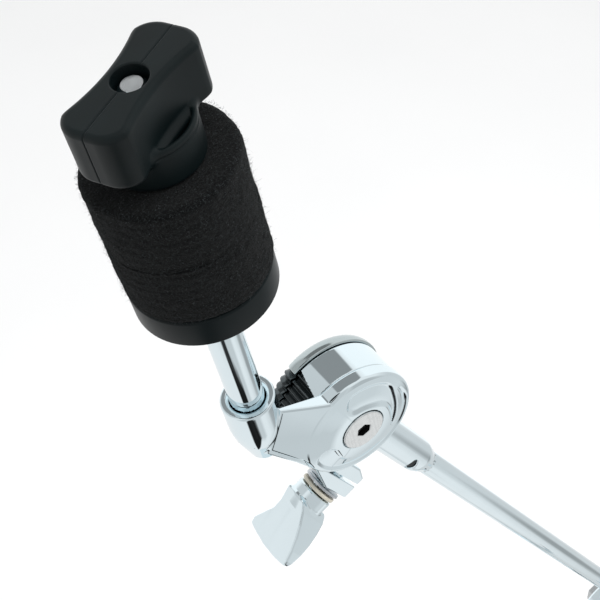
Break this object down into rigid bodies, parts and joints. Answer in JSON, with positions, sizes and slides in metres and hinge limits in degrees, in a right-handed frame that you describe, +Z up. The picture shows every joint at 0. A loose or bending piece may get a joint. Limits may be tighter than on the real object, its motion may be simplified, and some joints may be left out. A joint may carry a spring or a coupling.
{
  "type": "cymbal boom stand",
  "caption": "Chromed folding tripod stand with telescoping column and boom arm, carrying a tilting cymbal seat with black felts and a wing nut.",
  "frame": {"origin": "on the floor under the column's axis, at the rubber tip's flat face", "axes": "+Z up the column, +X from the column towards the cymbal seat, Y along the tilt axes"},
  "size_m": [0.591, 0.6794, 1.3567],
  "materials": {
    "chrome": "polished",
    "satin_steel": "satin",
    "zinc": "dull plated",
    "brass": "turned",
    "black_plastic": "fine moulded",
    "black_felt": "pressed wool felt",
    "nylon": "natural nylon",
    "rubber": "matt",
    "fibre": "matt"
  },
  "bodies": {
    "base": {"base_tube": "chrome", "base_tip": "rubber", "brace_collar": "chrome", "base_collar": "chrome"},
    "leg_slider": {"leg_collar": "chrome", "leg_pin_1": "satin_steel", "leg_pin_2": "satin_steel", "leg_pin_3": "satin_steel"},
    "leg_slider_bolt": {"leg_collar_wing_bolt": "chrome"},
    "brace_1": {"brace_1": "chrome", "hinge_pin_1": "satin_steel", "brace_pin_1": "satin_steel"},
    "leg_1": {"leg_1": "chrome", "foot_1": "rubber"},
    "brace_2": {"brace_2": "chrome", "hinge_pin_2": "satin_steel", "brace_pin_2": "satin_steel"},
    "leg_2": {"leg_2": "chrome", "foot_2": "rubber"},
    "brace_3": {"brace_3": "chrome", "hinge_pin_3": "satin_steel", "brace_pin_3": "satin_steel"},
    "leg_3": {"leg_3": "chrome", "foot_3": "rubber"},
    "base_bolt": {"base_wing_bolt": "chrome"},
    "mid_guide": {"base_bushing": "nylon"},
    "mid": {"mid_tube": "chrome", "mid_collar": "chrome"},
    "mid_bolt": {"mid_wing_bolt": "chrome"},
    "upper_guide": {"mid_bushing": "nylon"},
    "upper": {"upper_tube": "chrome", "boom_post": "chrome", "boom_pivot_bolt": "satin_steel", "boom_friction_disc": "fibre"},
    "clamp": {"boom_clamp": "chrome", "boom_wing_washer": "zinc"},
    "boom_nut": {"boom_wing_nut": "chrome"},
    "arm_guide": {"boom_bushing": "nylon"},
    "arm": {"boom_tube": "chrome", "boom_end_cap": "black_plastic", "arm_knuckle": "chrome", "ferrule_pin": "black_plastic", "lug_washer": "zinc", "nylon_washer": "nylon"},
    "tilter_bolt": {"tilter_wing_bolt": "chrome"},
    "head": {"tilter_body": "chrome", "tilter_rear_plate": "chrome", "pivot_screw": "satin_steel", "pivot_nut": "zinc", "cymbal_rod": "chrome", "seat_cup": "black_plastic", "cymbal_sleeve": "black_plastic", "lower_felt": "black_felt"},
    "felt_top": {"upper_felt": "black_felt"},
    "nut_core": {"nut_insert": "brass"},
    "nut": {"wing_nut": "black_plastic"}
  },
  "joints": [
    {"name": "tripod_fold", "type": "slide", "parent": "base", "child": "leg_slider", "axis": [0, 0, 1], "range_m": [0, 0.14836]},
    {"name": "brace_1_hinge", "type": "hinge", "parent": "base", "child": "brace_1", "pos_m": [0.03, 0, 0.06], "axis": [0, -1, 0], "range_deg": [0, 54.1]},
    {"name": "leg_1_hinge", "type": "hinge", "parent": "brace_1", "child": "leg_1", "pos_m": [0.1599, 0, 0.135], "axis": [0, 1, 0], "range_deg": [0, 108.2]},
    {"name": "brace_2_hinge", "type": "hinge", "parent": "base", "child": "brace_2", "pos_m": [-0.015, 0.02598, 0.06], "axis": [0.866, 0.5, 0], "range_deg": [0, 54.1]},
    {"name": "leg_2_hinge", "type": "hinge", "parent": "brace_2", "child": "leg_2", "pos_m": [-0.07995, 0.13848, 0.135], "axis": [-0.866, -0.5, 0], "range_deg": [0, 108.2]},
    {"name": "brace_3_hinge", "type": "hinge", "parent": "base", "child": "brace_3", "pos_m": [-0.015, -0.02598, 0.06], "axis": [-0.866, 0.5, 0], "range_deg": [0, 54.1]},
    {"name": "leg_3_hinge", "type": "hinge", "parent": "brace_3", "child": "leg_3", "pos_m": [-0.07995, -0.13848, 0.135], "axis": [0.866, -0.5, 0], "range_deg": [0, 108.2]},
    {"name": "leg_collar_bolt_turn", "type": "hinge", "parent": "leg_slider", "child": "leg_slider_bolt", "pos_m": [-0.0303, 0, 0.225], "axis": [-1, 0, 0], "continuous": true},
    {"name": "base_bolt_turn", "type": "hinge", "parent": "base", "child": "base_bolt", "pos_m": [0.0093, -0.0291, 0.484], "axis": [1, 0, 0], "continuous": true},
    {"name": "mid_tube_turn", "type": "hinge", "parent": "base", "child": "mid_guide", "pos_m": [0, 0, 0.485], "axis": [0, 0, 1], "continuous": true},
    {"name": "mid_tube_height", "type": "slide", "parent": "mid_guide", "child": "mid", "axis": [0, 0, 1], "range_m": [-0.165, 0.14]},
    {"name": "mid_bolt_turn", "type": "hinge", "parent": "mid", "child": "mid_bolt", "pos_m": [0.0093, -0.0259, 0.704], "axis": [1, 0, 0], "continuous": true},
    {"name": "upper_tube_turn", "type": "hinge", "parent": "mid", "child": "upper_guide", "pos_m": [0, 0, 0.705], "axis": [0, 0, 1], "continuous": true},
    {"name": "upper_tube_height", "type": "slide", "parent": "upper_guide", "child": "upper", "axis": [0, 0, 1], "range_m": [-0.07, 0.18]},
    {"name": "boom_tilt", "type": "hinge", "parent": "upper", "child": "clamp", "pos_m": [0, 0, 0.85], "axis": [0, -1, 0], "range_deg": [-65, 28]},
    {"name": "boom_nut_turn", "type": "hinge", "parent": "clamp", "child": "boom_nut", "pos_m": [0, 0.05, 0.85], "axis": [0, 1, 0], "continuous": true},
    {"name": "arm_turn", "type": "hinge", "parent": "clamp", "child": "arm_guide", "pos_m": [-0.01154, 0.026, 0.85793], "axis": [0.5664, 0, 0.8241], "continuous": true},
    {"name": "arm_reach", "type": "slide", "parent": "arm_guide", "child": "arm", "axis": [0.5664, 0, 0.8241], "range_m": [-0.3, 0.03]},
    {"name": "tilter_bolt_turn", "type": "hinge", "parent": "arm", "child": "tilter_bolt", "pos_m": [0.23937, 0.0257, 1.15944], "axis": [0.8241, 0, -0.5664], "continuous": true},
    {"name": "cymbal_tilt", "type": "hinge", "parent": "arm", "child": "head", "pos_m": [0.22635, 0.026, 1.20406], "axis": [0, 1, 0], "range_deg": [-100, 30]},
    {"name": "nut_lift", "type": "slide", "parent": "head", "child": "nut_core", "axis": [0.2113, 0, 0.9774], "range_m": [0, 0.018]},
    {"name": "felt_lift", "type": "slide", "parent": "head", "child": "felt_top", "axis": [0.2113, 0, 0.9774], "range_m": [0, 0.0091]},
    {"name": "nut_turn", "type": "hinge", "parent": "nut_core", "child": "nut", "pos_m": [0.28311, 0.026, 1.33503], "axis": [0.2113, 0, 0.9774], "continuous": true}
  ],
  "couplings": [
    {"joint": "brace_1_hinge", "follows": "tripod_fold", "rad_per_m": 6.3528},
    {"joint": "leg_1_hinge", "follows": "tripod_fold", "rad_per_m": 12.706},
    {"joint": "brace_2_hinge", "follows": "tripod_fold", "rad_per_m": 6.3528},
    {"joint": "leg_2_hinge", "follows": "tripod_fold", "rad_per_m": 12.706},
    {"joint": "brace_3_hinge", "follows": "tripod_fold", "rad_per_m": 6.3528},
    {"joint": "leg_3_hinge", "follows": "tripod_fold", "rad_per_m": 12.706},
    {"joint": "felt_lift", "follows": "nut_lift", "ratio": 0.5}
  ]
}
